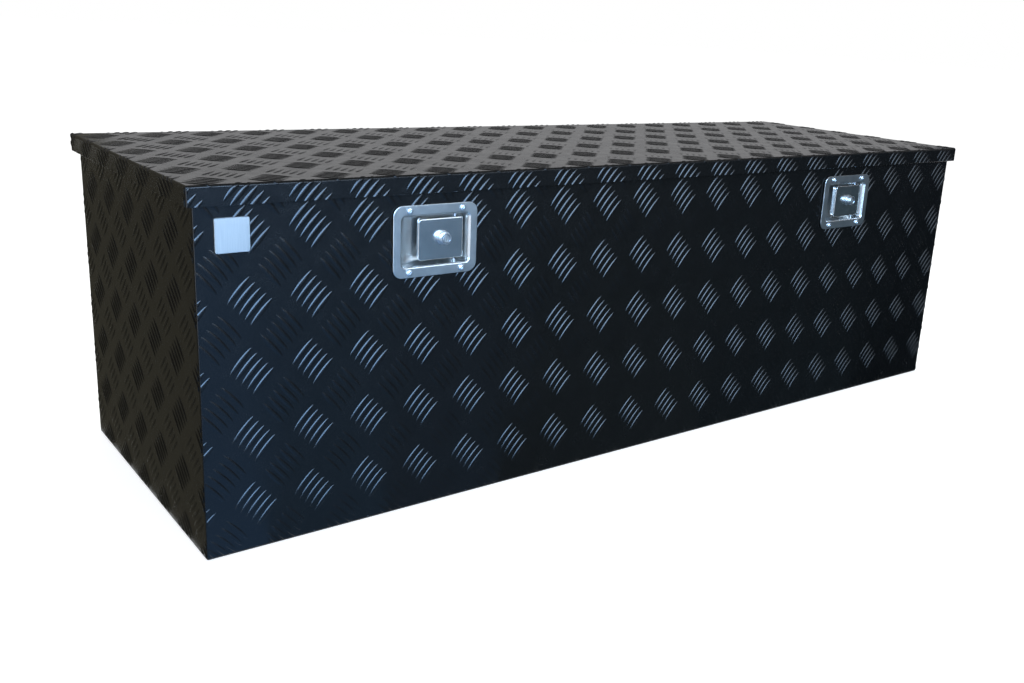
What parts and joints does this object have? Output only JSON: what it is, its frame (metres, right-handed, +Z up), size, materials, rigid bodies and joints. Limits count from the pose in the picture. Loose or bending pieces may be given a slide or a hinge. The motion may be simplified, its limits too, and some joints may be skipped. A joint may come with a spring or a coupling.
{
  "type": "trailer tongue box",
  "caption": "Low rectangular lidded chest of black tread plate, with a full-width back hinge, gas struts and flush locking paddle latches on the front.",
  "frame": {"origin": "on the ground under the middle of the chest, at the bottom centre of its bounding box", "axes": "+X to the right seen from the front (the length), +Y from the front to the back, +Z up"},
  "size_m": [1.45, 0.488, 0.45],
  "materials": {
    "powder_coat": "satin black powder coat over five-bar aluminium tread plate",
    "latch_steel": "polished stainless steel",
    "zinc_steel": "zinc plated",
    "plate_aluminium": "brushed",
    "seal_rubber": "matt",
    "strut_paint": "gloss black",
    "rod_chrome": "hard chrome",
    "socket_plastic": "moulded",
    "lock_chrome": "bright chrome",
    "plug_brass": "nickel plated face"
  },
  "bodies": {
    "chest": {"body_wrap": "powder_coat", "left_end_panel": "powder_coat", "right_end_panel": "powder_coat", "rim_seal": "seal_rubber", "badge_plate": "plate_aluminium", "hinge_body_leaf": "powder_coat", "hinge_pin": "zinc_steel", "left_latch_tray": "latch_steel", "left_latch_gasket": "seal_rubber", "left_latch_rivet_1": "latch_steel", "left_latch_rivet_2": "latch_steel", "left_latch_rivet_3": "latch_steel", "left_latch_rivet_4": "latch_steel", "left_paddle_pin": "zinc_steel", "left_paddle_spring": "zinc_steel", "left_bolt_guide": "zinc_steel", "right_latch_tray": "latch_steel", "right_latch_gasket": "seal_rubber", "right_latch_rivet_1": "latch_steel", "right_latch_rivet_2": "latch_steel", "right_latch_rivet_3": "latch_steel", "right_latch_rivet_4": "latch_steel", "right_paddle_pin": "zinc_steel", "right_paddle_spring": "zinc_steel", "right_bolt_guide": "zinc_steel", "left_strut_body_bracket": "zinc_steel", "right_strut_body_bracket": "zinc_steel"},
    "lid": {"lid_panel": "powder_coat", "hinge_lid_leaf": "powder_coat", "lid_rib_1": "powder_coat", "lid_rib_2": "powder_coat", "lid_rib_3": "powder_coat", "lid_rib_4": "powder_coat", "left_striker": "zinc_steel", "right_striker": "zinc_steel", "left_strut_lid_bracket": "zinc_steel", "right_strut_lid_bracket": "zinc_steel"},
    "left_paddle_unit": {"left_paddle": "latch_steel", "left_lock_housing": "lock_chrome", "left_lock_nut": "zinc_steel"},
    "left_key_unit": {"left_key_plug": "plug_brass", "left_lock_cam": "zinc_steel"},
    "left_bolt_unit": {"left_bolt": "zinc_steel"},
    "right_paddle_unit": {"right_paddle": "latch_steel", "right_lock_housing": "lock_chrome", "right_lock_nut": "zinc_steel"},
    "right_key_unit": {"right_key_plug": "plug_brass", "right_lock_cam": "zinc_steel"},
    "right_bolt_unit": {"right_bolt": "zinc_steel"},
    "left_strut_outer": {"left_strut_tube": "strut_paint", "left_strut_lower_socket": "socket_plastic"},
    "left_strut_inner": {"left_strut_rod": "rod_chrome", "left_strut_upper_socket": "socket_plastic"},
    "right_strut_outer": {"right_strut_tube": "strut_paint", "right_strut_lower_socket": "socket_plastic"},
    "right_strut_inner": {"right_strut_rod": "rod_chrome", "right_strut_upper_socket": "socket_plastic"}
  },
  "joints": [
    {"name": "lid_hinge", "type": "hinge", "parent": "chest", "child": "lid", "pos_m": [0, 0.2385, 0.4225], "axis": [-1, 0, 0], "range_deg": [0, 75]},
    {"name": "left_paddle_pull", "type": "hinge", "parent": "chest", "child": "left_paddle_unit", "pos_m": [-0.3805, -0.2285, 0.365], "axis": [0, 0, 1], "range_deg": [0, 30], "stiffness_Nm_per_rad": 0.4},
    {"name": "left_bolt_slide", "type": "slide", "parent": "chest", "child": "left_bolt_unit", "axis": [-1, 0, 0], "range_m": [0, 0.012]},
    {"name": "left_key_turn", "type": "hinge", "parent": "left_paddle_unit", "child": "left_key_unit", "pos_m": [-0.401, -0.235, 0.366], "axis": [0, 1, 0], "range_deg": [0, 90]},
    {"name": "right_paddle_pull", "type": "hinge", "parent": "chest", "child": "right_paddle_unit", "pos_m": [0.4455, -0.2285, 0.365], "axis": [0, 0, 1], "range_deg": [0, 30], "stiffness_Nm_per_rad": 0.4},
    {"name": "right_bolt_slide", "type": "slide", "parent": "chest", "child": "right_bolt_unit", "axis": [-1, 0, 0], "range_m": [0, 0.012]},
    {"name": "right_key_turn", "type": "hinge", "parent": "right_paddle_unit", "child": "right_key_unit", "pos_m": [0.425, -0.235, 0.366], "axis": [0, 1, 0], "range_deg": [0, 90]},
    {"name": "left_strut_swing", "type": "hinge", "parent": "chest", "child": "left_strut_outer", "pos_m": [-0.69, 0.208, 0.35], "axis": [-1, 0, 0], "range_deg": [0, 60.5]},
    {"name": "left_strut_stroke", "type": "slide", "parent": "left_strut_outer", "child": "left_strut_inner", "axis": [0, -0.8968, 0.4424], "range_m": [0, 0.0806]},
    {"name": "right_strut_swing", "type": "hinge", "parent": "chest", "child": "right_strut_outer", "pos_m": [0.69, 0.208, 0.35], "axis": [-1, 0, 0], "range_deg": [0, 60.5]},
    {"name": "right_strut_stroke", "type": "slide", "parent": "right_strut_outer", "child": "right_strut_inner", "axis": [0, -0.8968, 0.4424], "range_m": [0, 0.0806]}
  ],
  "couplings": [
    {"joint": "left_bolt_slide", "follows": "left_paddle_pull", "m_per_rad": 0.022536},
    {"joint": "right_bolt_slide", "follows": "right_paddle_pull", "m_per_rad": 0.022536},
    {"joint": "left_strut_swing", "follows": "lid_hinge", "ratio": 0.80431},
    {"joint": "left_strut_stroke", "follows": "lid_hinge", "m_per_rad": 0.061435},
    {"joint": "right_strut_swing", "follows": "lid_hinge", "ratio": 0.80431},
    {"joint": "right_strut_stroke", "follows": "lid_hinge", "m_per_rad": 0.061435}
  ]
}
